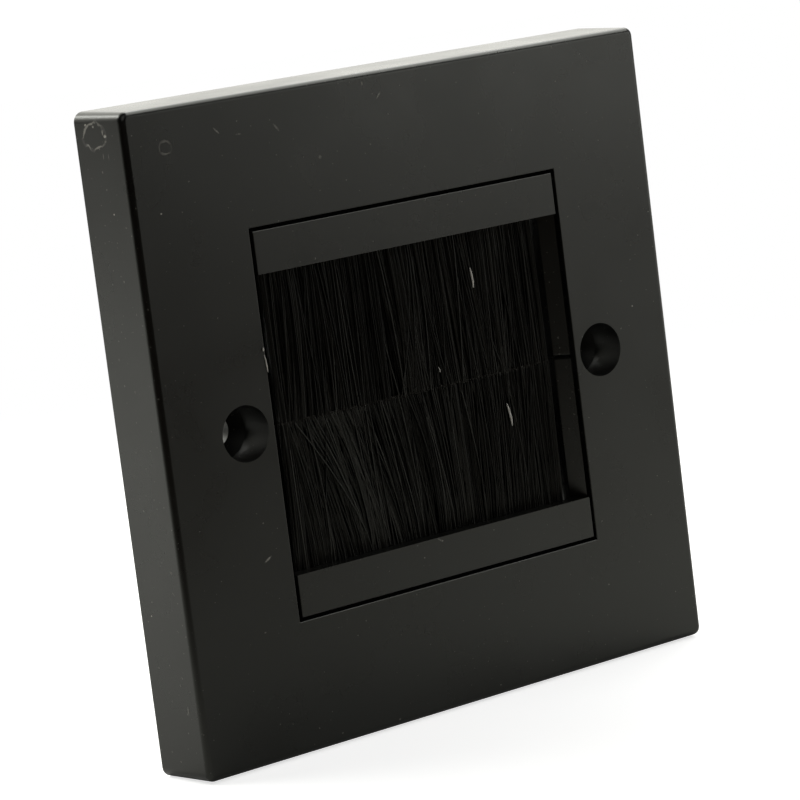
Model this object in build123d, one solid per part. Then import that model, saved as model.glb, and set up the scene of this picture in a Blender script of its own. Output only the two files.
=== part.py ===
from build123d import *
import os
from math import exp, pi, radians, sin, tan

# Brush wall plate: a square moulded faceplate whose opening is closed by two identical snap-in modules.
# Each module holds one strip brush, the upper one pointing down and the lower one pointing up.
# X runs to the right, Z up, and the front faces -Y. The wall is the plane Y = 0, and the plate's centre
# is on the Y axis. Depths are measured back from the front face. All sizes are in millimetres.

# Faceplate: a drafted square box, open towards the wall
plate_width = 86.0
plate_depth = 10.0
draft_angle = 1.7
front_edge_radius = 0.8
corner_margin = 0.6
panel_thickness = 1.6
skirt_thickness = 2.0
cavity_corner_radius = 0.6
opening_edge_radius = 0.12

# Screw recesses: a countersunk cup on each side of the opening
screw_spacing = 60.3
recess_diameter = 7.3
recess_depth = 5.3
countersink_angle = 90.0
boss_setback = 0.3
recess_wall = 1.05
screw_hole_diameter = 4.2

# Opening: a square that leaves a narrow land beside each recess
opening_land = 0.9

# Collar behind the panel that guides the modules, its catches, and the stiffening ribs
collar_thickness = 1.0
collar_length = 6.4
collar_clearance = 0.2
catch_reach = 0.8
catch_ramp = 1.6
catch_width = 8.0
catch_height = 13.0
catch_clearance = 0.05
rib_thickness = 1.2
rib_height = 3.6
rib_offset = 19.0

# Module body: a front bar, a cheek at each end, and a flange outside them that seats behind the panel
module_gap = 0.5
seam_gap = 0.15
cheek_thickness = 1.3
cheek_front = 0.4
cheek_slope = 2.1
cheek_end_radius = 0.3
flange_reach = 1.7
flange_thickness = 2.5
flange_lead = 0.5
flange_foot = 2.5
flange_boss_gap = 0.4
bar_front_wall = 1.6
bar_roof = 0.85
bar_lip = 0.7
bar_lip_gap = 0.15
bar_edge_radius = 0.1
nib_drop = 0.4
nib_length = 0.6
nib_width = 4.0
nib_spacing = 15.0

# Strip brush: a folded channel, the wire that it grips, and the filaments folded over the wire
channel_width = 4.0
channel_height = 3.9
channel_sheet = 0.5
channel_knee = 1.4
channel_mouth = 2.2
channel_fit = 0.05
channel_end_gap = 0.3
wire_diameter = 1.3
wire_fit = 0.03
fold_thickness = 0.7
fold_fit = 0.05
fold_end_gap = 0.2

# Tufts: two rows, one from each leg of the fold, that taper and gather towards ragged tips
tuft_pitch = 0.6
tuft_gap = 0.1
tuft_taper = 0.2
tuft_bury = 0.2
row_gap = 0.1
row_inset = 0.05
front_row_shortening = 0.9
row_flare_angle = 0.7
tip_gap = 0.1
tip_wave = 0.16
long_wave = 7.7
short_wave = 2.3
clump_pitch = 3.4
clump_reach = 0.1
lean_spread = 11.0
upper_lean = 0.5
upper_lean_place = 9.0
lower_lean = 2.6
lower_lean_place = 9.0

# Places worked out from the sizes above
opening_size = screw_spacing - recess_diameter - 2 * opening_land
half_module = opening_size / 2 - module_gap
cheek_inside = half_module - cheek_thickness
boss_radius = recess_diameter / 2 + recess_wall
countersink_depth = (recess_diameter - screw_hole_diameter) / 2 / tan(radians(countersink_angle / 2))
boss_depth = plate_depth - boss_setback
flange_outside = half_module + flange_reach
flange_back = panel_thickness + flange_thickness
collar_inside = flange_outside + collar_clearance
collar_depth = panel_thickness + collar_length
bar_height = bar_roof + channel_height + 2 * channel_fit + bar_lip
bar_bottom = half_module - bar_height
bar_ceiling = half_module - bar_roof
pocket_depth = bar_front_wall + channel_width + 2 * channel_fit
body_depth = pocket_depth + nib_length
brush_depth = bar_front_wall + channel_fit + channel_width / 2
channel_top = bar_ceiling - channel_fit
channel_bottom = channel_top - channel_height
channel_length = 2 * (cheek_inside - channel_end_gap)
wire_height = channel_top - channel_sheet - fold_thickness - wire_diameter / 2
fold_length = channel_length - 2 * fold_end_gap
tuft_width = tuft_pitch - tuft_gap
tip_width = tuft_width - tuft_taper
row_thickness = channel_mouth / 2 - fold_fit - row_inset - row_gap / 2


def in_front_view(outline, front, back):
    """Carry an outline drawn in X and Z from one depth behind the front face to a greater one."""
    return extrude(Plane.XZ.offset(plate_depth - back) * outline, back - front)


def in_side_view(points, start, end):
    """Carry an outline given as depths and heights along X."""
    outline = Polyline(*[(depth - plate_depth, height) for depth, height in points], close=True)
    return extrude(Plane.YZ.offset(start) * make_face(outline), end - start)


def in_plan_view(points, bottom, top):
    """Carry an outline given as X places and depths upwards."""
    outline = Polyline(*[(place, depth - plate_depth) for place, depth in points], close=True)
    return extrude(Plane.XY.offset(bottom) * make_face(outline), top - bottom)


def front_face(solid):
    """The face of a solid that lies furthest forward."""
    return solid.faces().sort_by(Axis.Y)[0]


def both_sides(solid):
    """A piece of the right side and its mirror image on the left."""
    return [solid, mirror(solid, about=Plane.YZ)]


def turned_over(solid):
    """The same piece turned half round about the plate's axis, as the lower module sits."""
    return solid.rotate(Axis.Y, 180)


def plate_shell():
    """The drafted box with rounded front edges, hollow up to the front panel."""
    outline = RectangleRounded(plate_width, plate_width, front_edge_radius + corner_margin)
    block = extrude(Plane.XZ * outline, plate_depth, taper=draft_angle)
    block = fillet(front_face(block).edges(), front_edge_radius)
    cavity_width = plate_width - 2 * skirt_thickness
    cavity = RectangleRounded(cavity_width, cavity_width, cavity_corner_radius)
    return block - extrude(Plane.XZ * cavity, plate_depth - panel_thickness, taper=draft_angle)


def collar():
    """The square wall behind the panel that stands round both modules."""
    inside = 2 * collar_inside
    outside = inside + 2 * collar_thickness
    outline = Rectangle(outside, outside) - Rectangle(inside, inside)
    return in_front_view(outline, panel_thickness, collar_depth)


def catches():
    """Ramped catches inside the collar, one behind each side flange of the two modules."""
    catch_front = flange_back + catch_clearance
    section = [
        (collar_inside, catch_front),
        (collar_inside - catch_reach, catch_front),
        (collar_inside, catch_front + catch_ramp),
    ]
    upper = both_sides(in_plan_view(section, catch_height - catch_width / 2, catch_height + catch_width / 2))
    return upper + [turned_over(catch) for catch in upper]


def ribs():
    """Stiffening ribs from the collar to the skirt: two on every side, and one beyond each boss."""
    start = collar_inside + collar_thickness / 2
    reach = (plate_width - skirt_thickness) / 2
    outline = Pos((start + reach) / 2, 0) * Rectangle(reach - start, rib_thickness)
    low, middle, high = [
        in_front_view(Pos(0, place) * outline, panel_thickness, panel_thickness + rib_height)
        for place in (-rib_offset, 0, rib_offset)
    ]
    half = [low, middle, high, low.rotate(Axis.Y, 90), high.rotate(Axis.Y, 90)]
    return half + [turned_over(rib) for rib in half]


def screw_recess():
    """The cup, its countersink and the screw hole on the middle of the plate, as one turned cutter."""
    half = [
        (0, 0),
        (recess_diameter / 2, 0),
        (recess_diameter / 2, recess_depth),
        (screw_hole_diameter / 2, recess_depth + countersink_depth),
        (screw_hole_diameter / 2, plate_depth),
        (0, plate_depth),
    ]
    outline = Polyline(*[(radius, depth - plate_depth) for radius, depth in half], close=True)
    return revolve(make_face(outline), Axis.Y)


def faceplate():
    """The whole plate moulding, with its opening and screw recesses."""
    screw_place = Pos(screw_spacing / 2, 0, 0)
    boss = screw_place * in_front_view(Circle(boss_radius), panel_thickness, boss_depth)
    plate = plate_shell() + [collar(), *catches(), *ribs(), *both_sides(boss)]
    plate -= in_front_view(Rectangle(opening_size, opening_size), 0, panel_thickness)
    plate -= both_sides(screw_place * screw_recess())
    opening_edges = front_face(plate).inner_wires().edges().filter_by(GeomType.LINE)
    return fillet(opening_edges, opening_edge_radius)


def bar():
    """The front bar of the upper module: a channel section with a lip that the strip brush sits on."""
    lip_back = brush_depth - channel_mouth / 2 - bar_lip_gap
    section = [
        (0, bar_bottom),
        (0, half_module),
        (body_depth, half_module),
        (body_depth, bar_ceiling),
        (bar_front_wall, bar_ceiling),
        (bar_front_wall, bar_bottom + bar_lip),
        (lip_back, bar_bottom + bar_lip),
        (lip_back, bar_bottom),
    ]
    return in_side_view(section, -half_module, half_module)


def nibs():
    """Ramped nibs under the bar's roof that hold the strip brush from behind."""
    section = [(pocket_depth, bar_ceiling), (pocket_depth, bar_ceiling - nib_drop), (body_depth, bar_ceiling)]
    return [
        in_side_view(section, place - nib_width / 2, place + nib_width / 2)
        for place in (-nib_spacing, 0, nib_spacing)
    ]


def cheek():
    """The right end of the upper module: a wall that closes the bar, and a leg that slopes in to the filaments."""
    bar_end = [(0, bar_bottom), (0, half_module), (body_depth, half_module), (body_depth, bar_bottom)]
    section = [
        (half_module, cheek_front),
        (half_module, body_depth),
        (cheek_inside, body_depth),
        (cheek_inside, cheek_front + cheek_slope),
    ]
    leg = in_plan_view(section, seam_gap / 2, bar_bottom)
    foot = leg.faces().sort_by(Axis.Z)[0]
    leg = fillet(foot.edges().sort_by(Axis.Y)[0], cheek_end_radius)
    return in_side_view(bar_end, cheek_inside, half_module) + leg


def flange():
    """The flange of the upper module, down both sides and along the top, notched round the plate's bosses."""
    section = [
        (half_module, panel_thickness),
        (flange_outside - flange_lead, panel_thickness),
        (flange_outside, panel_thickness + flange_lead),
        (flange_outside, flange_back),
        (half_module, flange_back),
    ]
    notch = Pos(screw_spacing / 2, 0) * Circle(boss_radius + flange_boss_gap)
    side = in_plan_view(section, flange_foot, flange_outside)
    side -= in_front_view(notch, panel_thickness, flange_back)
    top = in_side_view([(depth, reach) for reach, depth in section], -half_module, half_module)
    return both_sides(side) + [top]


def module_body():
    """The upper module moulding, its front edges rounded but for the one along the filaments."""
    body = bar() + [*nibs(), *both_sides(cheek()), *flange()]
    return fillet(front_face(body).edges().sort_by(Axis.Z)[1:], bar_edge_radius)


def mirrored_section(half):
    """A closed section from the depths and heights of its rear half, taken from the brush's middle plane."""
    rear = [(brush_depth + offset, height) for offset, height in half]
    front = [(brush_depth - offset, height) for offset, height in reversed(half)]
    return rear + front


def strip_channel():
    """The folded channel, its legs bent in below the wire to grip the filaments."""
    half = [
        (channel_width / 2, channel_top),
        (channel_width / 2, channel_bottom + channel_knee),
        (channel_mouth / 2 + channel_sheet, channel_bottom),
        (channel_mouth / 2, channel_bottom),
        (channel_width / 2 - channel_sheet, channel_bottom + channel_knee),
        (channel_width / 2 - channel_sheet, channel_top - channel_sheet),
    ]
    return in_side_view(mirrored_section(half), -channel_length / 2, channel_length / 2)


def rod_at_wire(radius, length):
    """A rod along X on the wire's line, centred on the module."""
    place = Plane.YZ.offset(-length / 2) * Pos(brush_depth - plate_depth, wire_height)
    return extrude(place * Circle(radius), length)


def folded_roots():
    """The filaments inside the channel, folded over the wire and pressed together."""
    inside_width = channel_width / 2 - channel_sheet - fold_fit
    half = [
        (inside_width, channel_top - channel_sheet - fold_fit),
        (inside_width, channel_bottom + channel_knee),
        (channel_mouth / 2 - fold_fit, channel_bottom),
    ]
    roots = in_side_view(mirrored_section(half), -fold_length / 2, fold_length / 2)
    return roots - rod_at_wire(wire_diameter / 2 + wire_fit, channel_length)


def seam_line(place):
    """Height of the ragged line where the two brushes meet, the same when the plate is turned half round."""
    return tip_wave * (sin(2 * pi * place / long_wave) + sin(2 * pi * place / short_wave)) / 2


def tuft(root_place, tip_place, side, tip_height):
    """One tapered tuft of the front (-1) or rear (1) row, from inside the fold to its own tip."""
    root_height = channel_bottom + tuft_bury
    outline = Polyline(
        (root_place - tuft_width / 2, root_height),
        (root_place + tuft_width / 2, root_height),
        (tip_place + tip_width / 2, tip_height),
        (tip_place - tip_width / 2, tip_height),
        close=True,
    )
    row = brush_depth + side * (row_gap + row_thickness) / 2
    upright = in_front_view(make_face(outline), row - row_thickness / 2, row + row_thickness / 2)
    return upright.rotate(Axis((0, row - plate_depth, root_height), (1, 0, 0)), side * row_flare_angle)


def bristles(lean, lean_place):
    """The upper filaments: folded roots and two staggered rows of tufts that lean most near one place."""
    tufts = []
    for side, row_length in ((-1, fold_length - 2 * front_row_shortening), (1, fold_length)):
        count = int(row_length / tuft_pitch) - 1
        for index in range(count):
            place = (index - (count - 1) / 2 + side / 4) * tuft_pitch
            gathered = clump_reach * sin(2 * pi * place / clump_pitch)
            leaned = lean * exp(-(((place - lean_place) / lean_spread) ** 2))
            tip = place + gathered + leaned
            seam = max(seam_line(tip - tip_width / 2), seam_line(tip + tip_width / 2))
            tufts.append(tuft(place, tip, side, tip_gap + seam))
    return folded_roots() + tufts


upper = {
    "module_body": module_body(),
    "strip_channel": strip_channel(),
    "core_wire": rod_at_wire(wire_diameter / 2, channel_length),
}
nodes = {"faceplate": faceplate()}
for name, solid in upper.items():
    nodes["upper_" + name] = solid
    nodes["lower_" + name] = turned_over(solid)
nodes["upper_bristles"] = bristles(upper_lean, upper_lean_place)
nodes["lower_bristles"] = turned_over(bristles(lower_lean, lower_lean_place))

os.makedirs("parts", exist_ok=True)
for name, solid in nodes.items():
    export_step(solid, os.path.join("parts", name + ".step"))
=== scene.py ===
"""Looks of the brush wall plate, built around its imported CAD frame.

Lengths are millimetres in the part's own frame until a mesh is written: X to the right, Z up, the
front towards -Y and the wall at Y = 0.
"""

import logging
from dataclasses import dataclass
from enum import Enum
from math import cos, radians
from typing import Any

import bpy
import numpy as np
from mathutils import Euler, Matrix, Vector


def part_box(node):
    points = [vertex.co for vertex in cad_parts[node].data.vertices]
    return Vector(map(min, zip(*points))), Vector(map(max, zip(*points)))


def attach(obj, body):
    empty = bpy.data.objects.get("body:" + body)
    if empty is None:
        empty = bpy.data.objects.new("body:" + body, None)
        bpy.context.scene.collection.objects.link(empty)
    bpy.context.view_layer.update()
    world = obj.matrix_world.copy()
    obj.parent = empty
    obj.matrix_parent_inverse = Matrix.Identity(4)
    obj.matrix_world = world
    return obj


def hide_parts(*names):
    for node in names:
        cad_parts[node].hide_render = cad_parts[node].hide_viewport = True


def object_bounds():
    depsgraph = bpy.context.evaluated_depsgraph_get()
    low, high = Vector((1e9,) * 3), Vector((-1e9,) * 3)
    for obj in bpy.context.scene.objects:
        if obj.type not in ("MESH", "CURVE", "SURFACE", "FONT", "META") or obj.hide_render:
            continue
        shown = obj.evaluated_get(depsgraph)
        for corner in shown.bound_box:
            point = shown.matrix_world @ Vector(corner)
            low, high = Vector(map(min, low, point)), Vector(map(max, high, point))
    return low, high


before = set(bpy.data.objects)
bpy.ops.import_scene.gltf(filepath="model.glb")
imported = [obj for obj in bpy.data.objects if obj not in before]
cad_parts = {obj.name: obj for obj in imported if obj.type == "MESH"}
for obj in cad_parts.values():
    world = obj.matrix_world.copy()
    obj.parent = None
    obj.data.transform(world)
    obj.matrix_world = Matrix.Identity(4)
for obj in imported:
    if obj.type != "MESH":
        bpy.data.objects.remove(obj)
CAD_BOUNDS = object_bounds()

LOG = logging.getLogger("brush_wall_plate")
MM = 0.001

Material = bpy.types.Material
Node = bpy.types.Node
Object = bpy.types.Object
Socket = bpy.types.NodeSocket
Tree = bpy.types.NodeTree
Colour = tuple[float, float, float, float]
Point = tuple[float, float, float]
Span = tuple[float, float]

# Sockets of a colour mix node, by number because their names repeat.
MIX_A, MIX_B, MIX_RESULT = 6, 7, 2
# Levels that nearly all of a noise texture lies between.
NOISE_LEAST, NOISE_MOST = 0.3, 0.7

# The faces that carry marks. The skirt is drafted, so at mid depth its left side lies inside the box.
SIDE_DRAFT = 0.15
SIDE_FACE = CAD_BOUNDS[0][0] / MM + SIDE_DRAFT
FRONT_FACE = CAD_BOUNDS[0][1] / MM
# Half length of a mark through the face that carries it.
MARK_REACH = 0.6


def linear(hex_colour: str) -> Colour:
    """Turn an sRGB hex colour into linear RGBA.

    Args:
        hex_colour: Six hex digits after a hash.

    Returns:
        Red, green, blue and an alpha of 1.
    """
    levels = np.array([int(hex_colour[i:i + 2], 16) for i in (1, 3, 5)]) / 255
    values = np.where(levels <= 0.04045, levels / 12.92, ((levels + 0.055) / 1.055) ** 2.4)
    return (*values.tolist(), 1.0)


def per_metre(size_mm: float) -> float:
    """Texture scale, in repeats per metre, that gives features of a size in millimetres."""
    return 1 / (size_mm * MM)


def add_node(tree: Tree, kind: str, inputs: dict[int | str, Any] | None = None, **settings: Any) -> Node:
    """Add a shader node with its settings and its input values or links.

    Args:
        tree: The tree that the node joins.
        kind: Blender's name for the type of node, without ShaderNode.
        inputs: By input name or number, a value, an output socket, or a node for its first output.
        settings: The node's own attributes.

    Returns:
        The new node.
    """
    node = tree.nodes.new("ShaderNode" + kind)
    for name, value in settings.items():
        setattr(node, name, value)
    for key, value in (inputs or {}).items():
        source = value.outputs[0] if isinstance(value, Node) else value
        if isinstance(source, Socket):
            tree.links.new(source, node.inputs[key])
        else:
            node.inputs[key].default_value = source
    return node


def new_material(name: str) -> tuple[Material, Tree]:
    """Make an empty node material.

    Args:
        name: The material's name.

    Returns:
        The material and its tree.
    """
    material = bpy.data.materials.new(name)
    material.use_nodes = True
    material.node_tree.nodes.clear()
    return material, material.node_tree


def dress(obj: Object, material: Material) -> None:
    """Give an object one material all over.

    Args:
        obj: The object to dress.
        material: The material for all of its slots.
    """
    if not obj.data.materials:
        obj.data.materials.append(material)
    for index in range(len(obj.data.materials)):
        obj.data.materials[index] = material


def mesh_object(name: str, points: np.ndarray, faces: list[np.ndarray], smooth: list[bool]) -> Object:
    """Write points and blocks of equal-sided faces into a new object at the origin.

    Args:
        name: The object's name.
        points: Vertex places in millimetres, one per row.
        faces: Blocks of vertex numbers, one face per row.
        smooth: Whether each block is shaded smooth.

    Returns:
        The object, linked to the scene.
    """
    corners = np.concatenate([block.ravel() for block in faces])
    sides = np.concatenate([np.full(len(block), block.shape[1]) for block in faces])
    shading = np.concatenate([np.full(len(block), flag) for block, flag in zip(faces, smooth)])
    mesh = bpy.data.meshes.new(name)
    mesh.vertices.add(len(points))
    mesh.vertices.foreach_set("co", (points * MM).astype(np.float32).ravel())
    mesh.loops.add(len(corners))
    mesh.loops.foreach_set("vertex_index", corners.astype(np.int32))
    mesh.polygons.add(len(sides))
    mesh.polygons.foreach_set("loop_start", (np.cumsum(sides) - sides).astype(np.int32))
    mesh.polygons.foreach_set("use_smooth", shading)
    mesh.update(calc_edges=True)
    obj = bpy.data.objects.new(name, mesh)
    bpy.context.scene.collection.objects.link(obj)
    return obj


def swept_strands(paths: np.ndarray, radii: np.ndarray, sides: int) -> tuple[np.ndarray, list[np.ndarray]]:
    """Carry a regular polygon along many paths that never run along X.

    A ring at a path point is that point plus the radius times cos(a) along the side vector and sin(a)
    along the tangent crossed with the side vector, where the side vector is X made square to the tangent.

    Args:
        paths: Path points, shaped strands by points by 3.
        radii: Radius at each path point, shaped strands by points.
        sides: Corners of the polygon.

    Returns:
        The vertices, then blocks of side quads, start caps and end caps.
    """
    strands, steps, _ = paths.shape
    tangents = np.gradient(paths, axis=1)
    tangents /= np.linalg.norm(tangents, axis=2, keepdims=True)
    across = np.array([1.0, 0.0, 0.0]) - tangents * tangents[..., :1]
    across /= np.linalg.norm(across, axis=2, keepdims=True)
    upright = np.cross(tangents, across)
    angles = 2 * np.pi * np.arange(sides) / sides
    ring = np.cos(angles)[:, None] * across[:, :, None, :] + np.sin(angles)[:, None] * upright[:, :, None, :]
    points = paths[:, :, None, :] + radii[:, :, None, None] * ring
    number = np.arange(strands * steps * sides).reshape(strands, steps, sides)
    after = np.roll(number, -1, axis=2)
    walls = np.stack([number[:, :-1], after[:, :-1], after[:, 1:], number[:, 1:]], axis=-1)
    return points.reshape(-1, 3), [walls.reshape(-1, 4), number[:, 0, ::-1], number[:, -1]]


@dataclass(frozen=True)
class Mark:
    """A scuff, scratch or speck, as the part of the surface inside a small ellipsoid or near its skin.

    Attributes:
        place: Its centre.
        size: Its half lengths along its own axes.
        turn: Degrees about Y that set its axes.
        depth: How much of the dust colour shows.
        ring: Share of the half lengths at which the mark's line runs, 0 for a filled mark.
        band: Half width of the line as a share of the half lengths.
        wave: How far the line strays inwards, as a share of the half lengths.
    """

    place: Point
    size: Point
    turn: float = 0.0
    depth: float = 0.25
    ring: float = 0.0
    band: float = 1.0
    wave: float = 0.0


@dataclass(frozen=True)
class MouldedAbs:
    """Black ABS, injection moulded in a tool with a finely spark-eroded face.

    It gives a deep black with a soft, slightly uneven sheen: nearly a mirror at a grazing view, dull grey
    straight on, with a little pale dust that clings to it. Inside faces are left coarser from the tool and
    have less sheen, so that the screw cups and the gap round the modules stay dark.

    Attributes:
        name: The material's name.
        coarse_span: Least and greatest distance from the plate's axis, along X or Z, of the coarse faces.
        coarse_depth: How far behind the front the coarse faces begin.
        coarseness: How coarse they are, from 0 to 1.
        colour: The plastic's own colour.
        worn_colour: Its colour where it has been handled.
        dust_colour: Colour of dust, scuffs and scratches.
        roughness: Least and greatest roughness over the smears.
        gloss: Level of the sheen.
        gloss_tint: Tint of the sheen.
        ior: Index of refraction of ABS.
        coarse_roughness: Roughness that full coarseness adds.
        coarse_gloss: Level of the sheen that full coarseness takes away.
        grain_mm: Width of the moulded grain. The real grain is about 0.05 mm, under half a pixel, so it is
            drawn three times as coarse.
        grain_height_mm: Height of the grain.
        smear_mm: Width of the smears from handling.
        speck_mm: Spacing of the places where a speck of dust may lie.
        speck_levels: Noise levels at which a speck begins and is full.
        speck_depth: How much of the dust colour a speck shows.
        patch_levels: Grain levels at which a filled mark is thinnest and whole.
        patch_least: How much of a filled mark is left where it is thinnest.
        scuff_mm: Spacing of the breaks in a ring mark.
        scuff_levels: Noise levels at which a ring mark is thinnest and whole.
        scuff_least: How much of a ring mark is left where it is thinnest.
        marks: The marks on the part that wears the finish.
    """

    name: str
    coarse_span: Span
    coarse_depth: float
    coarseness: float
    colour: str = "#060606"
    worn_colour: str = "#0a0a09"
    dust_colour: str = "#b9b6ab"
    roughness: Span = (0.24, 0.33)
    gloss: float = 0.5
    gloss_tint: str = "#fdfff4"
    ior: float = 1.53
    coarse_roughness: float = 0.6
    coarse_gloss: float = 0.45
    grain_mm: float = 0.15
    grain_height_mm: float = 0.004
    smear_mm: float = 14.0
    speck_mm: float = 0.5
    speck_levels: Span = (0.74, 0.78)
    speck_depth: float = 0.25
    patch_levels: Span = (0.35, 0.6)
    patch_least: float = 0.25
    scuff_mm: float = 1.4
    scuff_levels: Span = (0.42, 0.6)
    scuff_least: float = 0.12
    marks: tuple[Mark, ...] = ()

    def material(self) -> Material:
        """Build the node material.

        Returns:
            The material.
        """
        material, tree = new_material(self.name)
        place = add_node(tree, "TexCoord").outputs["Object"]
        smear, grain = (
            add_node(tree, "TexNoise", {"Vector": place, "Scale": per_metre(size), "Detail": detail})
            for size, detail in ((self.smear_mm, 5.0), (self.grain_mm, 2.0))
        )
        dust = self._dust(tree, place, grain)
        coarse = self._coarse(tree, place)
        worn = add_node(tree, "Mix", {
            "Factor": smear, MIX_A: linear(self.colour), MIX_B: linear(self.worn_colour),
        }, data_type="RGBA")
        colour = add_node(tree, "Mix", {
            "Factor": dust, MIX_A: worn.outputs[MIX_RESULT], MIX_B: linear(self.dust_colour),
        }, data_type="RGBA")
        smooth = add_node(tree, "MapRange", {
            "Value": smear, "From Min": NOISE_LEAST, "From Max": NOISE_MOST,
            "To Min": self.roughness[0], "To Max": self.roughness[1],
        })
        dusty = add_node(tree, "Math", {0: smooth, 1: dust}, operation="ADD", use_clamp=True)
        rough = add_node(tree, "Math", {
            0: coarse, 1: self.coarse_roughness * self.coarseness, 2: dusty,
        }, operation="MULTIPLY_ADD", use_clamp=True)
        gloss = add_node(tree, "Math", {
            0: coarse, 1: -self.coarse_gloss * self.coarseness, 2: self.gloss,
        }, operation="MULTIPLY_ADD")
        bump = add_node(tree, "Bump", {
            "Height": grain, "Strength": 1.0, "Distance": self.grain_height_mm * MM,
        })
        shader = add_node(tree, "BsdfPrincipled", {
            "Base Color": colour.outputs[MIX_RESULT], "Roughness": rough, "IOR": self.ior, "Normal": bump,
            "Specular IOR Level": gloss, "Specular Tint": linear(self.gloss_tint),
        })
        add_node(tree, "OutputMaterial", {"Surface": shader})
        return material

    def _coarse(self, tree: Tree, place: Socket) -> Node:
        """Mask the coarse faces.

        A place is coarse where the greater of |X| and |Z| lies in the coarse span, and Y lies further behind
        the front than the coarse depth.

        Args:
            tree: The material's tree.
            place: Object coordinates.

        Returns:
            1 on the coarse faces and 0 elsewhere.
        """
        axes = add_node(tree, "SeparateXYZ", {"Vector": place})
        across = add_node(tree, "Math", {0: axes.outputs["X"]}, operation="ABSOLUTE")
        upward = add_node(tree, "Math", {0: axes.outputs["Z"]}, operation="ABSOLUTE")
        reach = add_node(tree, "Math", {0: across, 1: upward}, operation="MAXIMUM")
        start, end = self.coarse_span
        within = add_node(tree, "Math", {
            0: reach, 1: (start + end) / 2 * MM, 2: (end - start) / 2 * MM,
        }, operation="COMPARE")
        behind = add_node(tree, "Math", {
            0: axes.outputs["Y"], 1: CAD_BOUNDS[0][1] + self.coarse_depth * MM,
        }, operation="GREATER_THAN")
        return add_node(tree, "Math", {0: within, 1: behind}, operation="MULTIPLY")

    def _dust(self, tree: Tree, place: Socket, grain: Node) -> Node:
        """Mask the specks of dust and the marks.

        Args:
            tree: The material's tree.
            place: Object coordinates.
            grain: Level of the moulded grain.

        Returns:
            How much of the dust colour shows, from 0 to 1.
        """
        speck, scuff = (
            add_node(tree, "TexNoise", {"Vector": place, "Scale": per_metre(size), "Detail": detail})
            for size, detail in ((self.speck_mm, 1.0), (self.scuff_mm, 2.0))
        )
        least, most = self.speck_levels
        dust = add_node(tree, "MapRange", {
            "Value": speck, "From Min": least, "From Max": most, "To Max": self.speck_depth,
        })
        least, most = self.patch_levels
        patchy = add_node(tree, "MapRange", {
            "Value": grain, "From Min": least, "From Max": most, "To Min": self.patch_least,
        })
        least, most = self.scuff_levels
        broken = add_node(tree, "MapRange", {
            "Value": scuff, "From Min": least, "From Max": most, "To Min": self.scuff_least,
        })
        for mark in self.marks:
            dust = self._with_mark(tree, place, broken if mark.ring else patchy, dust, mark)
        return dust

    def _with_mark(self, tree: Tree, place: Socket, solid: Node, dust: Node, mark: Mark) -> Node:
        """Add one mark to a dust mask.

        The distance from the mark's centre, in its own half lengths, is lengthened by the wave where the mark
        is solid, which draws its line inwards. The mark shows where that is within a band of its ring.

        Args:
            tree: The material's tree.
            place: Object coordinates.
            solid: How solid the mark is at each place.
            dust: The mask so far.
            mark: The mark to add.

        Returns:
            The mask with the mark.
        """
        local = add_node(tree, "Mapping", {
            "Vector": place, "Location": Vector(mark.place) * MM, "Scale": Vector(mark.size) * MM,
            "Rotation": (0.0, radians(mark.turn), 0.0),
        }, vector_type="TEXTURE")
        reach = add_node(tree, "VectorMath", {0: local}, operation="LENGTH")
        wavy = add_node(tree, "Math", {
            0: solid, 1: mark.wave, 2: reach.outputs["Value"],
        }, operation="MULTIPLY_ADD")
        off_line = add_node(tree, "Math", {0: wavy, 1: mark.ring}, operation="SUBTRACT")
        distance = add_node(tree, "Math", {0: off_line}, operation="ABSOLUTE")
        inside = add_node(tree, "MapRange", {
            "Value": distance, "From Min": mark.band, "From Max": 0.5 * mark.band, "To Max": mark.depth,
        })
        shown = add_node(tree, "Math", {0: inside, 1: solid}, operation="MULTIPLY")
        return add_node(tree, "Math", {0: dust, 1: shown}, operation="MAXIMUM")


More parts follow.
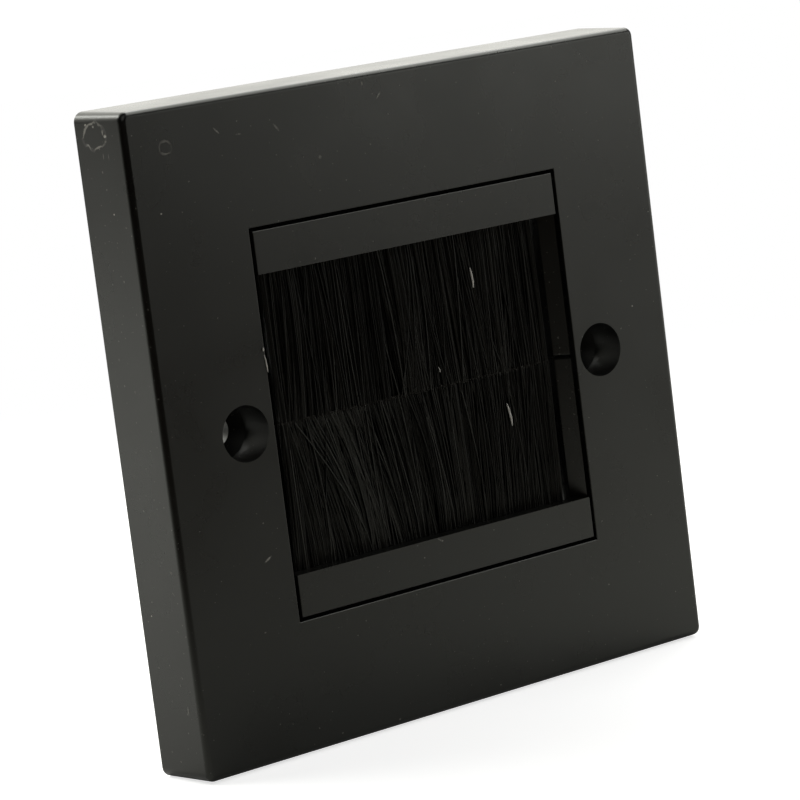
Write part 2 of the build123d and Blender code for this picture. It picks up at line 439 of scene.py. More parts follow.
@dataclass(frozen=True)
class DrawnNylon:
    """Black nylon filament, drawn through a die and cut with a blade.

    Its sides are smooth and near black with a narrow glint along them, and its cut ends are rough and show
    dark grey, partly for their rough cut and partly as a painted highlight of the light that they catch.

    Attributes:
        name: The material's name.
        colour: Colour of the darkest filaments.
        pale_colour: Colour of the palest.
        cut_and_highlight_colour: Colour of the cut ends, paler partly as a painted highlight of the light
            that they catch.
        roughness: Roughness of the sides.
        cut_roughness: Roughness of the cut ends.
        specular: Level of the glint on the darkest and the palest filaments.
        gloss_tint: Tint of the glint.
        ior: Index of refraction of nylon.
        cut_share: Share of the length at which the cut end begins.
    """

    name: str = "drawn_nylon_filament"
    colour: str = "#070707"
    pale_colour: str = "#151513"
    cut_and_highlight_colour: str = "#1e1a17"
    roughness: float = 0.38
    cut_roughness: float = 0.75
    specular: Span = (0.18, 0.75)
    gloss_tint: str = "#fffff0"
    ior: float = 1.53
    cut_share: float = 0.985

    def material(self) -> Material:
        """Build the node material, which reads each filament's shade and length from its UV map.

        Returns:
            The material.
        """
        material, tree = new_material(self.name)
        uv = add_node(tree, "UVMap", uv_map="filament")
        parts = add_node(tree, "SeparateXYZ", {"Vector": uv})
        shade = add_node(tree, "Mix", {
            "Factor": parts.outputs["X"], MIX_A: linear(self.colour), MIX_B: linear(self.pale_colour),
        }, data_type="RGBA")
        cut = add_node(tree, "MapRange", {
            "Value": parts.outputs["Y"], "From Min": self.cut_share, "From Max": 1.0,
        })
        # The cut ends are paler, partly for their rough cut and partly as a painted highlight.
        colour = add_node(tree, "Mix", {
            "Factor": cut, MIX_A: shade.outputs[MIX_RESULT], MIX_B: linear(self.cut_and_highlight_colour),
        }, data_type="RGBA")
        rough = add_node(tree, "MapRange", {
            "Value": cut, "To Min": self.roughness, "To Max": self.cut_roughness,
        })
        gloss = add_node(tree, "MapRange", {
            "Value": parts.outputs["X"], "To Min": self.specular[0], "To Max": self.specular[1],
        })
        shader = add_node(tree, "BsdfPrincipled", {
            "Base Color": colour.outputs[MIX_RESULT], "Roughness": rough, "IOR": self.ior,
            "Specular IOR Level": gloss, "Specular Tint": linear(self.gloss_tint),
        })
        add_node(tree, "OutputMaterial", {"Surface": shader})
        return material


@dataclass(frozen=True)
class ZincSteel:
    """Zinc-plated mild steel, rolled or drawn, with faint lines along its length.

    It gives a grey metal with a soft streaked shine and duller patches in the zinc.

    Attributes:
        name: The material's name.
        colour: Colour of the bright zinc.
        dull_colour: Colour of the duller patches.
        roughness: Least and greatest roughness across the lines.
        line_mm: Spacing of the lines.
        line_length_mm: Their length.
        patch_mm: Width of the zinc's patches.
    """

    name: str
    colour: str = "#a9abac"
    dull_colour: str = "#85888a"
    roughness: Span = (0.28, 0.45)
    line_mm: float = 0.12
    line_length_mm: float = 9.0
    patch_mm: float = 2.5

    def material(self) -> Material:
        """Build the node material.

        Returns:
            The material.
        """
        material, tree = new_material(self.name)
        place = add_node(tree, "TexCoord").outputs["Object"]
        across = per_metre(self.line_mm)
        drawn = add_node(tree, "Mapping", {
            "Vector": place, "Scale": (per_metre(self.line_length_mm), across, across),
        })
        lines = add_node(tree, "TexNoise", {"Vector": drawn, "Scale": 1.0, "Detail": 3.0})
        patch = add_node(tree, "TexVoronoi", {"Vector": place, "Scale": per_metre(self.patch_mm)})
        colour = add_node(tree, "Mix", {
            "Factor": patch, MIX_A: linear(self.colour), MIX_B: linear(self.dull_colour),
        }, data_type="RGBA")
        rough = add_node(tree, "MapRange", {
            "Value": lines, "From Min": NOISE_LEAST, "From Max": NOISE_MOST,
            "To Min": self.roughness[0], "To Max": self.roughness[1],
        })
        shader = add_node(tree, "BsdfPrincipled", {
            "Base Color": colour.outputs[MIX_RESULT], "Roughness": rough, "Metallic": 1.0,
        })
        add_node(tree, "OutputMaterial", {"Surface": shader})
        return material


@dataclass(frozen=True)
class CottonLint:
    """Loose cotton fibre, spun and shed by clothes.

    It gives thin pale lines that stand out on black and are duller along their soiled stretches.

    Attributes:
        name: The material's name.
        colour: Colour of the clean stretches.
        dull_colour: Colour of the soiled stretches.
        patch_mm: Length of a stretch.
        roughness: Roughness of the fibre.
        sheen: Weight of the fuzz that catches light.
        ior: Index of refraction of cotton.
    """

    name: str = "shed_cotton_fibre"
    colour: str = "#e9e6dd"
    dull_colour: str = "#a8a498"
    patch_mm: float = 0.8
    roughness: float = 0.7
    sheen: float = 0.6
    ior: float = 1.5

    def material(self) -> Material:
        """Build the node material.

        Returns:
            The material.
        """
        material, tree = new_material(self.name)
        place = add_node(tree, "TexCoord").outputs["Object"]
        patch = add_node(tree, "TexNoise", {
            "Vector": place, "Scale": per_metre(self.patch_mm), "Detail": 2.0,
        })
        colour = add_node(tree, "Mix", {
            "Factor": patch, MIX_A: linear(self.colour), MIX_B: linear(self.dull_colour),
        }, data_type="RGBA")
        shader = add_node(tree, "BsdfPrincipled", {
            "Base Color": colour.outputs[MIX_RESULT], "Roughness": self.roughness, "IOR": self.ior,
            "Sheen Weight": self.sheen,
        })
        add_node(tree, "OutputMaterial", {"Surface": shader})
        return material


@dataclass(frozen=True)
class MattPaper:
    """Matt white paper, with its colour darkened towards the camera as painted shade.

    It gives an even pale floor with a soft shadow. The camera sees it lifted to near white round the plate
    and pure white further off. Towards the camera its colour darkens into a dark brown painted shade,
    which the plate's front mirrors.

    Attributes:
        name: The material's name.
        colour: The paper's colour.
        camera_side_shade_colour: Colour of the painted shade on the camera's side, dark brown.
        painted_shade_span: Where the paper's colour fades into the painted shade, along the way to the
            camera.
        camera_side: The level direction towards the camera.
        glow: Light that the camera alone sees added to the paper.
        white_from: Distances from the plate at which the white begins and is full.
    """

    name: str = "matt_white_paper"
    colour: str = "#d2d2d0"
    camera_side_shade_colour: str = "#33261d"
    painted_shade_span: Span = (15.0, 170.0)
    camera_side: Point = (-0.45, -0.89, 0.0)
    glow: float = 0.7
    white_from: Span = (150.0, 350.0)

    def material(self) -> Material:
        """Build the node material.

        Returns:
            The material.
        """
        material, tree = new_material(self.name)
        place = add_node(tree, "TexCoord").outputs["Object"]
        towards = add_node(tree, "VectorMath", {0: place, 1: self.camera_side}, operation="DOT_PRODUCT")
        # Towards the camera the paper's colour fades into painted shade, which the plate's front mirrors.
        in_painted_shade = add_node(tree, "MapRange", {
            "Value": towards.outputs["Value"],
            "From Min": self.painted_shade_span[0] * MM, "From Max": self.painted_shade_span[1] * MM,
        })
        colour = add_node(tree, "Mix", {
            "Factor": in_painted_shade, MIX_A: linear(self.colour), MIX_B: linear(self.camera_side_shade_colour),
        }, data_type="RGBA")
        matt = add_node(tree, "BsdfDiffuse", {"Color": colour.outputs[MIX_RESULT]})
        seen = add_node(tree, "LightPath").outputs["Is Camera Ray"]
        lift = add_node(tree, "Math", {0: seen, 1: self.glow}, operation="MULTIPLY")
        glow = add_node(tree, "Emission", {"Strength": lift})
        near = add_node(tree, "AddShader", {0: matt, 1: glow})
        distance = add_node(tree, "VectorMath", {0: place}, operation="LENGTH")
        beyond = add_node(tree, "MapRange", {
            "Value": distance.outputs["Value"],
            "From Min": self.white_from[0] * MM, "From Max": self.white_from[1] * MM,
        }, interpolation_type="SMOOTHSTEP")
        fade = add_node(tree, "Math", {0: beyond, 1: seen}, operation="MULTIPLY")
        white = add_node(tree, "Emission", {"Strength": 1.0})
        surface = add_node(tree, "MixShader", {0: fade, 1: near, 2: white})
        add_node(tree, "OutputMaterial", {"Surface": surface})
        return material


@dataclass
class Faceplate:
    """The moulded plate, which keeps its CAD form.

    Attributes:
        node: Its CAD node.
        finish: Its finish, with the marks on its left side from the top down, then those on its front.
    """

    node: str = "faceplate"
    finish: MouldedAbs = MouldedAbs(
        "moulded_abs_plate", coarse_span=(0.0, 41.3), coarse_depth=0.25, coarseness=0.3,
        marks=(
            Mark((SIDE_FACE, -3.93, 40.0), (1.2, 2.4, 1.8), ring=1.1, band=0.1, wave=0.25, depth=0.45),
            Mark((SIDE_FACE, -2.4, 41.4), (MARK_REACH, 0.28, 0.2), depth=1.0),
            Mark((SIDE_FACE, -4.0, 41.15), (MARK_REACH, 0.2, 0.2), depth=1.0),
            Mark((SIDE_FACE, -6.3, 39.9), (MARK_REACH, 0.35, 0.25), depth=1.0),
            Mark((SIDE_FACE, -5.4, 37.4), (MARK_REACH, 0.09, 0.45), depth=0.31),
            Mark((SIDE_FACE, -6.5, 37.3), (MARK_REACH, 0.09, 0.5), depth=0.31),
            Mark((SIDE_FACE, -6.0, 30.1), (MARK_REACH, 0.14, 0.14), depth=1.0),
            Mark((SIDE_FACE, -2.2, -21.5), (MARK_REACH, 0.16, 0.12), depth=1.0),
            Mark((SIDE_FACE, -7.4, -33.5), (MARK_REACH, 0.12, 0.7), depth=0.35),
            Mark(
                (-36.6, FRONT_FACE, 37.5), (0.9, MARK_REACH, 0.9), ring=1.1, band=0.18, wave=0.3, depth=0.32,
            ),
            Mark((-28.6, FRONT_FACE, 38.5), (0.7, MARK_REACH, 0.14), turn=46.0, depth=0.44),
            Mark((-25.3, FRONT_FACE, 37.6), (0.5, MARK_REACH, 0.14), depth=0.22),
            Mark((-19.3, FRONT_FACE, 37.6), (0.8, MARK_REACH, 0.2), turn=52.0, depth=0.26),
            Mark((-13.0, FRONT_FACE, 32.9), (0.3, MARK_REACH, 0.3), depth=0.26),
            Mark((-4.8, FRONT_FACE, 41.3), (0.13, MARK_REACH, 0.4), depth=0.66),
            Mark((-2.4, FRONT_FACE, 39.4), (0.6, MARK_REACH, 0.11), turn=-50.0, depth=0.66),
            Mark((-38.5, FRONT_FACE, 29.5), (0.17, MARK_REACH, 0.14), depth=1.0),
            Mark((-29.3, FRONT_FACE, -16.5), (0.75, MARK_REACH, 0.17), turn=-30.0, depth=0.7),
            Mark((36.8, FRONT_FACE, 4.9), (0.16, MARK_REACH, 0.14), depth=0.99),
        ),
    )

    def build(self) -> None:
        """Dress the CAD node."""
        dress(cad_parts[self.node], self.finish.material())
        LOG.info("%s dressed", self.node)


class Half(Enum):
    """Which half of the opening a module fills. The lower one is the upper one turned half round."""

    UPPER = 1
    LOWER = -1

    def turned(self, points: np.ndarray) -> np.ndarray:
        """Turn points of the upper module about the plate's axis to this half."""
        return points * np.array([self.value, 1, self.value])


class Row(Enum):
    """One of a brush's two rows of legs, and the way along Y that it flares from the wire."""

    FRONT = -1
    REAR = 1


@dataclass(frozen=True)
class ModuleFinishes:
    """Materials of the pieces of a module, shared by both modules.

    Attributes:
        body: For the moulding.
        channel: For the folded channel.
        wire: For the core wire.
        filament: For the filaments.
    """

    body: Material
    channel: Material
    wire: Material
    filament: Material

    @classmethod
    def make(cls) -> "ModuleFinishes":
        """Build the four materials, with the flecks on the lower bar.

        Returns:
            The finishes.
        """
        body = MouldedAbs(
            "moulded_abs_module", coarse_span=(25.08, 40.0), coarse_depth=0.0, coarseness=1.0,
            colour="#0d0d0c", marks=(
                Mark((-1.4, FRONT_FACE, -19.9), (0.55, MARK_REACH, 0.13), turn=35.0, depth=0.4),
                Mark((-1.0, FRONT_FACE, -20.1), (0.14, MARK_REACH, 0.12), depth=0.88),
                Mark((7.85, FRONT_FACE, -20.5), (0.12, MARK_REACH, 0.12), depth=0.88),
                Mark((-4.3, FRONT_FACE, -21.7), (0.14, MARK_REACH, 0.1), depth=0.66),
            ),
        )
        channel = ZincSteel("rolled_zinc_steel")
        wire = ZincSteel("drawn_zinc_wire", line_mm=0.06)
        return cls(body.material(), channel.material(), wire.material(), DrawnNylon().material())


@dataclass(frozen=True)
class Strip:
    """Places of the upper strip brush that its filaments follow.

    Attributes:
        middle: Y of the wire's axis.
        wire_height: Z of the wire's axis.
        mouth_height: Z of the channel's mouth.
        wire_end: X of the wire's end.
    """

    middle: float
    wire_height: float
    mouth_height: float
    wire_end: float

    @classmethod
    def from_frame(cls) -> "Strip":
        """Read the places from the boxes of the CAD wire and channel.

        Returns:
            The strip's places.
        """
        wire = np.array(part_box("upper_core_wire")) / MM
        middle, wire_height = wire.mean(axis=0)[1:]
        return cls(middle, wire_height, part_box("upper_strip_channel")[0].z / MM, wire[1, 0])


@dataclass(frozen=True)
class Clumps:
    """Bunches that the legs of one row draw together into.

    Attributes:
        member: The number of each leg's clump.
        middles: X of each clump's middle.
    """

    member: np.ndarray
    middles: np.ndarray

    def shared(self, rng: np.random.Generator, spread: float) -> np.ndarray:
        """Draw one normal value for each clump and give it to all of the clump's legs."""
        return rng.normal(0.0, spread, len(self.middles))[self.member]


@dataclass
class BrushModule:
    """One snap-in module: its moulding, folded channel, core wire and filaments.

    Places are those of the upper module. The lower one is worked out in the same way and turned.

    Attributes:
        half: The half of the opening that it fills.
        lean: How far the filaments' tips lean towards +X.
        lean_place: Where along the brush they lean most.
        tip_height: Height of the trimmed tips.
        seed: Seed of its filaments' small differences.
        row_ends: How much shorter the front row is than the fold at its -X and +X ends.
        strays: Root and tip places of the outermost filaments, which lie across the others.
        bow: How far the tips stand forward.
        tip_scatter: How far the tips' heights differ, either way.
        lean_spread: How far along the brush the lean reaches.
        lean_scatter: How far the lean differs from leg to leg, as a share.
        drift_power: Power of a leg's length by which it drifts sideways.
        filaments: Number of folded filaments.
        filament_radius: Least and greatest radius.
        sides: Corners of a filament's section.
        leg_steps: Steps along a leg, before its cut end.
        fold_points: Points round the wire.
        cut_start: Share of a leg's length at which its cut end begins. The ring there keeps the tip's
            shading from spreading down the leg.
        wire_layer: Distance from the wire's axis of the innermost and outermost folds.
        mouth_layer: The same for the legs at the channel's mouth.
        end_gap: How far the fold stops short of the wire's end.
        end_scatter: How far the rows' ends are ragged.
        rear_row_spread: How far the rear row may reach past the fold at each end.
        upright_end: Distance from the row's end over which the filaments straighten up.
        flare: How far a leg moves away from the wire on its way to the tip.
        flare_power: Power of a leg's length by which it flares.
        splay: How far the tips spread sideways.
        wild_share: Share of the legs that spread more.
        wild_splay: How far those spread.
        stray_lift: How far the strays stand off the others.
        curl: How far a leg bends sideways at mid length.
        clump_count: Number of clumps drawn, more than fill a row.
        clump_pitch: Their mean width.
        clump_evenness: Shape of the spread of their widths, more even when higher.
        clump_blend: How far neighbouring clumps mix.
        clump_pull: Share of the way that a tip is pulled to its clump's middle.
        clump_lean: How far whole clumps lean.
        clump_depth: How far whole clumps stand in or out at mid length.
        rear_clumping: How much the rear row clumps beside the front row.
        shade_spread: Shape of the spread of the legs' shades, most of them dark.
        clump_shade: How far the shade differs from clump to clump.
        stray_shade: Shade of the strays.
    """

    half: Half
    lean: float
    lean_place: float
    tip_height: float
    seed: int
    row_ends: Span
    strays: tuple[Span, ...]
    bow: float = 0.05
    tip_scatter: float = 0.12
    lean_spread: float = 11.0
    lean_scatter: float = 0.35
    drift_power: float = 1.4
    filaments: int = 1150
    filament_radius: Span = (0.12, 0.19)
    sides: int = 3
    leg_steps: int = 6
    fold_points: int = 5
    cut_start: float = 0.985
    wire_layer: Span = (0.8, 1.3)
    mouth_layer: Span = (0.14, 0.95)
    end_gap: float = 0.2
    end_scatter: float = 0.15
    rear_row_spread: float = 0.3
    upright_end: float = 4.0
    flare: float = 0.45
    flare_power: float = 0.4
    splay: float = 0.75
    wild_share: float = 0.08
    wild_splay: float = 2.2
    stray_lift: float = 0.2
    curl: float = 0.2
    clump_count: int = 60
    clump_pitch: float = 1.3
    clump_evenness: float = 3.0
    clump_blend: float = 0.2
    clump_pull: float = 0.5
    clump_lean: float = 0.55
    clump_depth: float = 0.22
    rear_clumping: float = 0.3
    shade_spread: Span = (1.2, 4.0)
    clump_shade: float = 0.08
    stray_shade: float = 0.6

    def build(self, finishes: ModuleFinishes) -> None:
        """Dress the CAD nodes and put fine filaments in place of the bristle solid.

        Args:
            finishes: The materials of the module's pieces.
        """
        prefix = self.half.name.lower()
        dress(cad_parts[prefix + "_module_body"], finishes.body)
        dress(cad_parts[prefix + "_strip_channel"], finishes.channel)
        dress(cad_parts[prefix + "_core_wire"], finishes.wire)
        strands = self._filaments(prefix + "_filaments")
        dress(strands, finishes.filament)
        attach(strands, "root")
        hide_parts(prefix + "_bristles")
        LOG.info("%s module: %d filaments", prefix, self.filaments)

    def _filaments(self, name: str) -> Object:
        """Sweep every folded filament and store its shade and length share as a UV map.

        Args:
            name: The object's name.

        Returns:
            The filaments as one object.
        """
        paths, shares, shades = self._paths()
        radius = np.random.default_rng(self.seed + 2).uniform(*self.filament_radius, len(paths))
        radii = np.repeat(radius[:, None], paths.shape[1], axis=1)
        points, faces = swept_strands(self.half.turned(paths), radii, self.sides)
        strands = mesh_object(name, points, faces, [True, False, False])
        shades = np.broadcast_to(shades[:, :, None], (*paths.shape[:2], self.sides))
        shares = np.broadcast_to(shares[None, :, None], shades.shape)
        values = np.stack([shades.ravel(), shares.ravel()], axis=1)
        corners = np.concatenate([block.ravel() for block in faces])
        layer = strands.data.uv_layers.new(name="filament")
        layer.data.foreach_set("uv", values[corners].astype(np.float32).ravel())
        return strands

    def _leg_shares(self) -> np.ndarray:
        """Shares of a leg's length at its points: even steps to the cut end, then the tip."""
        return np.append(np.linspace(0, self.cut_start, self.leg_steps + 1), 1.0)

    def _paths(self) -> tuple[np.ndarray, np.ndarray, np.ndarray]:
        """Work out every filament's centre line from its front tip over the wire to its rear tip.

        The roots lie along the wire, each at a random place in its own equal share of it, and in random
        layers. A half circle round the wire joins a filament's two legs.

        Returns:
            Path points, shaped filaments by points by 3, the share of the leg's length at each point, and
            the shade of each filament at each point.
        """
        rng = np.random.default_rng(self.seed)
        strip = Strip.from_frame()
        count = self.filaments
        row_end = strip.wire_end - self.end_gap
        root = rng.permutation((np.arange(count) + rng.random(count)) / count * 2 - 1) * row_end
        layer = rng.random(count)
        root[:len(self.strays)] = [start for start, _ in self.strays]
        layer[:len(self.strays)] = 1.0
        front, front_shade = self._leg(rng, strip, Row.FRONT, root, layer)
        rear, rear_shade = self._leg(rng, strip, Row.REAR, root, layer)
        angles = np.linspace(np.pi, 0, self.fold_points)
        around = np.interp(layer, [0, 1], self.wire_layer)[:, None]
        fold = np.stack([
            np.repeat(root[:, None], self.fold_points, axis=1),
            strip.middle + around * np.cos(angles),
            strip.wire_height + around * np.sin(angles),
        ], axis=2)
        leg = self._leg_shares()
        shares = np.concatenate([leg[::-1], np.zeros(self.fold_points), leg])
        shades = np.concatenate([
            np.repeat(front_shade[:, None], len(leg), axis=1),
            np.zeros(fold.shape[:2]),
            np.repeat(rear_shade[:, None], len(leg), axis=1),
        ], axis=1)
        return np.concatenate([front[:, ::-1], fold, rear], axis=1), shares, shades

    def _leg(
        self, rng: np.random.Generator, strip: Strip, row: Row, root: np.ndarray, layer: np.ndarray,
    ) -> tuple[np.ndarray, np.ndarray]:
        """Work out one leg of every filament, from the channel's mouth to its tip.

        As t goes from 0 at the mouth to 1 at the tip, X is the leg's place at the mouth, plus its drift times
        t to the drift power, plus its curl times sin(pi t). Y moves out by the flare times t to the flare
        power and forward by the bow times t squared, and in or out with the clump by 4 t (1 - t). Z goes
        evenly from the mouth to the tip.

        Args:
            rng: Source of the filaments' small differences.
            strip: Places of the strip brush.
            row: The row that the legs stand in.
            root: X of each filament on the wire.
            layer: Layer of each filament, from 0 next to the wire to 1 outside.

        Returns:
            Leg points, shaped filaments by points by 3, and each leg's shade.
        """
        count = self.filaments
        loose = slice(len(self.strays))
        row_end = strip.wire_end - self.end_gap
        start, end = self.row_ends if row is Row.FRONT else (-self.rear_row_spread, -self.rear_row_spread)
        low = start - row_end + rng.exponential(self.end_scatter, count)
        high = row_end - end - rng.exponential(self.end_scatter, count)
        mouth_place = np.clip(root, low, high)
        clumps = self._clumps(rng, mouth_place, row_end)
        depth = clumps.shared(rng, self.clump_depth)
        depth[loose] = row.value * self.stray_lift
        drift = self._drift(rng, clumps, row, mouth_place, row_end)
        tip = np.clip(mouth_place + drift, low, high)
        tip_height = self.tip_height + rng.uniform(-1, 1, count) * self.tip_scatter
        curl = rng.normal(0.0, self.curl, count)
        mouth_layer = np.interp(layer, [0, 1], self.mouth_layer)
        t = self._leg_shares()
        x = mouth_place[:, None] + (tip - mouth_place)[:, None] * t ** self.drift_power
        x += curl[:, None] * np.sin(np.pi * t)
        y = strip.middle + row.value * (mouth_layer[:, None] + self.flare * t ** self.flare_power)
        y += depth[:, None] * 4 * t * (1 - t) - self.bow * t ** 2
        z = strip.mouth_height + (tip_height - strip.mouth_height)[:, None] * t
        points = np.stack([np.clip(x, low[:, None], high[:, None]), y, z], axis=2)
        shade = np.clip(rng.beta(*self.shade_spread, count) + clumps.shared(rng, self.clump_shade), 0, 1)
        shade[loose] = self.stray_shade
        return points, shade

    def _clumps(self, rng: np.random.Generator, mouth_place: np.ndarray, row_end: float) -> Clumps:
        """Share out a row's legs among clumps of random widths that lie side by side from its -X end.

        Args:
            rng: Source of the filaments' small differences.
            mouth_place: X of each leg at the channel's mouth.
            row_end: X of the row's end.

        Returns:
            The clumps.
        """
        widths = rng.gamma(self.clump_evenness, self.clump_pitch / self.clump_evenness, self.clump_count)
        edges = np.cumsum(widths) - row_end
        member = np.searchsorted(edges, mouth_place + rng.normal(0.0, self.clump_blend, len(mouth_place)))
        return Clumps(member, edges - np.diff(edges, prepend=-row_end) / 2)

    def _drift(
        self, rng: np.random.Generator, clumps: Clumps, row: Row, mouth_place: np.ndarray, row_end: float,
    ) -> np.ndarray:
        """Work out how far each leg's tip lies along X from its place at the mouth.

        The lean falls off from its place as a bell curve. To it are added the leg's own splay, the pull
        towards the middle of its clump and the clump's own lean. All fade out towards the row's ends. The
        strays go where they are set.

        Args:
            rng: Source of the filaments' small differences.
            clumps: The row's clumps.
            row: The row that the legs stand in.
            mouth_place: X of each leg at the channel's mouth.
            row_end: X of the row's end.

        Returns:
            The drift of each leg.
        """
        count = self.filaments
        clumping = 1.0 if row is Row.FRONT else self.rear_clumping
        splay = np.where(rng.random(count) < self.wild_share, self.wild_splay, self.splay)
        drift = self.lean * np.exp(-(((mouth_place - self.lean_place) / self.lean_spread) ** 2))
        drift = drift * rng.normal(1.0, self.lean_scatter, count) + rng.normal(0.0, 1.0, count) * splay
        drift += clumping * self.clump_pull * (clumps.middles[clumps.member] - mouth_place)
        drift += clumping * clumps.shared(rng, self.clump_lean)
        drift *= np.clip((row_end - np.abs(mouth_place)) / self.upright_end, 0, 1)
        drift[:len(self.strays)] = [end - start for start, end in self.strays]
        return drift


@dataclass(frozen=True)
class Fibre:
    """One fibre of lint.

    Attributes:
        radius: Its radius between its thin ends.
        points: The points along it.
    """

    radius: float
    points: tuple[Point, Point, Point, Point]


@dataclass
class Lint:
    """Fibres caught on the filaments and on the opening's left edge.

    Attributes:
        fibres: The fibres, three on the filaments and then two on the edge.
        taper: Share of the radius at each point of a fibre.
        sides: Corners of a fibre's section.
        finish: Their finish.
    """

    fibres: tuple[Fibre, ...] = (
        Fibre(0.14, ((10.8, -8.0, 14.5), (10.9, -8.05, 13.6), (11.0, -8.05, 12.7), (11.0, -8.0, 11.8))),
        Fibre(0.15, ((14.3, -8.0, -4.6), (14.5, -8.05, -5.6), (14.7, -8.05, -6.7), (14.8, -8.0, -7.7))),
        Fibre(0.07, ((3.5, -8.0, 2.4), (3.56, -8.05, 2.15), (3.62, -8.05, 1.9), (3.68, -8.0, 1.65))),
        Fibre(0.13, (
            (-25.88, -10.05, 10.3), (-25.87, -10.12, 10.2), (-25.86, -10.12, 10.05), (-25.85, -10.05, 9.9),
        )),
        Fibre(0.09, (
            (-25.78, -10.03, 9.4), (-25.7, -10.1, 8.6), (-25.62, -10.1, 7.8), (-25.55, -10.03, 7.1),
        )),
    )
    taper: tuple[float, float, float, float] = (0.5, 1.0, 1.0, 0.5)
    sides: int = 6
    finish: CottonLint = CottonLint()

    def build(self) -> None:
        """Sweep the fibres as closed tubes, one object for all."""
        paths = np.array([fibre.points for fibre in self.fibres])
        radii = np.array([fibre.radius for fibre in self.fibres])[:, None] * np.array(self.taper)
        points, faces = swept_strands(paths, radii, self.sides)
        lint = mesh_object("settled_lint", points, faces, [True, False, False])
        dress(lint, self.finish.material())
        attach(lint, "root")
        LOG.info("%d fibres of lint", len(self.fibres))


@dataclass(frozen=True)
class PhotoCamera:
    """The photograph's viewpoint, found by fitting the plate's edges and holes.

    Attributes:
        place: Where the camera stands.
        turn: Its turn about X, Y and Z in degrees.
        lens: Its focal length.
        sensor: Width of its sensor.
        near: Nearest distance that it sees.
    """

    place: Point = (-295.15, -389.59, 68.82)
    turn: Point = (81.696, 7.109, -38.418)
    lens: float = 165.985
    sensor: float = 36.0
    near: float = 10.0

    def build(self) -> None:
        """Create the camera and make it the scene's."""
        data = bpy.data.cameras.new("photo_camera")
        data.lens = self.lens
        data.sensor_width = self.sensor
        data.clip_start = self.near * MM
        camera = bpy.data.objects.new("photo_camera", data)
        camera.location = Vector(self.place) * MM
        camera.rotation_euler = Euler([radians(angle) for angle in self.turn])
        bpy.context.scene.collection.objects.link(camera)
        bpy.context.scene.camera = camera
        LOG.info("camera placed")


@dataclass(frozen=True)
class Softbox:
    """A rectangular soft lamp.

    Attributes:
        name: The lamp's name.
        place: Its middle.
        aim: The point that it faces.
        width: Its width.
        height: Its height.
        power: Its power in watts.
    """

    name: str
    place: Point
    aim: Point
    width: float
    height: float
    power: float

    def build(self) -> None:
        """Create the lamp."""
        data = bpy.data.lights.new(self.name, "AREA")
        data.shape = "RECTANGLE"
        data.size = self.width * MM
        data.size_y = self.height * MM
        data.energy = self.power
        lamp = bpy.data.objects.new(self.name, data)
        lamp.location = Vector(self.place) * MM
        lamp.rotation_euler = (Vector(self.aim) - Vector(self.place)).to_track_quat("-Z", "Y").to_euler()
        bpy.context.scene.collection.objects.link(lamp)


@dataclass(frozen=True)
class WhiteSurround:
    """Light from all round, bright behind the plate and dim in front of it, white to the camera.

    Attributes:
        name: The world's name.
        colour: Colour of the light.
        levels: Least and greatest strength.
        bright_side: Direction of the middle of the bright part.
        bright_angles: Degrees from there within which it is full, and beyond which it is least.
    """

    name: str = "white_surround"
    colour: str = "#fffef7"
    levels: Span = (0.01, 1.72)
    bright_side: Point = (0.255, 0.866, 0.428)
    bright_angles: Span = (28.0, 60.0)

    def build(self) -> None:
        """Create the world and make it the scene's."""
        world = bpy.data.worlds.new(self.name)
        world.use_nodes = True
        tree = world.node_tree
        tree.nodes.clear()
        direction = add_node(tree, "TexCoord").outputs["Generated"]
        along = add_node(tree, "VectorMath", {0: direction, 1: self.bright_side}, operation="DOT_PRODUCT")
        full, least = self.bright_angles
        level = add_node(tree, "MapRange", {
            "Value": along.outputs["Value"], "From Min": cos(radians(least)), "From Max": cos(radians(full)),
            "To Min": self.levels[0], "To Max": self.levels[1],
        }, interpolation_type="SMOOTHSTEP")
        seen = add_node(tree, "LightPath").outputs["Is Camera Ray"]
        strength = add_node(tree, "Math", {0: level, 1: seen}, operation="MAXIMUM")
        colour = add_node(tree, "Mix", {
            "Factor": seen, MIX_A: linear(self.colour), MIX_B: linear("#ffffff"),
        }, data_type="RGBA")
        back = add_node(tree, "Background", {"Color": colour.outputs[MIX_RESULT], "Strength": strength})
        add_node(tree, "OutputWorld", {"Surface": back})
        bpy.context.scene.world = world


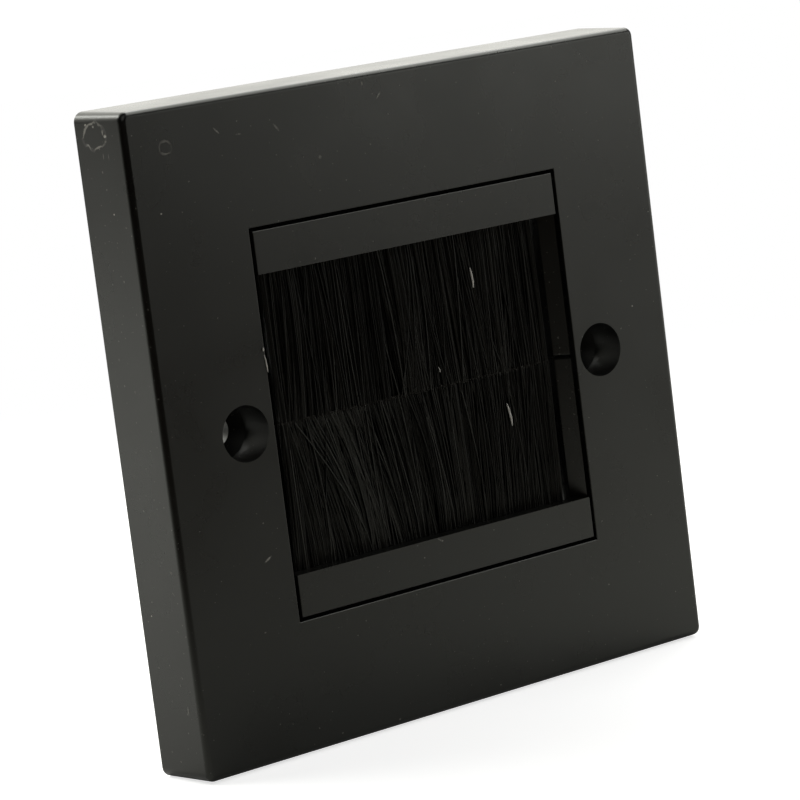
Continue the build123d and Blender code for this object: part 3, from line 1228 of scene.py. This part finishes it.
@dataclass
class Studio:
    """A pale floor under the plate, a white surround and soft lamps.

    Attributes:
        floor_height: Z of the floor, at the plate's lower edge.
        floor_reach: Half width of the floor.
        paper: The floor's finish.
        surround: The light from all round.
        lamps: A lamp on the paper that the left side mirrors, then one from the right, from the front
            and from overhead.
    """

    floor_height: float = CAD_BOUNDS[0][2] / MM
    floor_reach: float = 1500.0
    paper: MattPaper = MattPaper()
    surround: WhiteSurround = WhiteSurround()
    lamps: tuple[Softbox, ...] = (
        Softbox("paper_lamp", (-270.0, 340.0, 350.0), (-270.0, 341.0, -43.0), 300.0, 300.0, 2.15),
        Softbox("right_softbox", (630.0, -525.0, 60.0), (0.0, 0.0, 0.0), 560.0, 500.0, 1.32),
        Softbox("key_softbox", (-250.0, -550.0, 450.0), (0.0, 0.0, 0.0), 600.0, 600.0, 0.6),
        Softbox("overhead_softbox", (450.0, 50.0, 600.0), (0.0, 0.0, 0.0), 1100.0, 400.0, 4.7),
    )

    def build(self) -> None:
        """Create the floor, a square of four points at one height, then the surround and the lamps."""
        u, v = np.meshgrid([-1.0, 1.0], [-1.0, 1.0])
        height = np.full_like(u, self.floor_height)
        points = np.stack([u * self.floor_reach, v * self.floor_reach, height], axis=-1)
        floor = mesh_object("studio_floor", points.reshape(-1, 3), [np.array([[0, 1, 3, 2]])], [False])
        dress(floor, self.paper.material())
        self.surround.build()
        for lamp in self.lamps:
            lamp.build()
        LOG.info("floor, surround and %d lamps", len(self.lamps))


def main() -> None:
    """Build every piece in order."""
    logging.basicConfig(level=logging.INFO, format="%(name)s: %(message)s")
    bpy.context.scene.view_settings.view_transform = "Standard"
    PhotoCamera().build()
    Studio().build()
    Faceplate().build()
    finishes = ModuleFinishes.make()
    BrushModule(
        Half.UPPER, lean=0.8, lean_place=4.0, tip_height=-0.4, seed=11, row_ends=(0.3, 0.8),
        strays=((-4.0, -2.5), (9.0, 7.5)),
    ).build(finishes)
    BrushModule(
        Half.LOWER, lean=4.5, lean_place=9.0, tip_height=0.2, seed=23, row_ends=(0.8, 0.3),
        strays=((10.5, 21.0), (7.5, 13.5), (2.5, 6.5)),
    ).build(finishes)
    Lint().build()


if __name__ == "__main__":
    main()
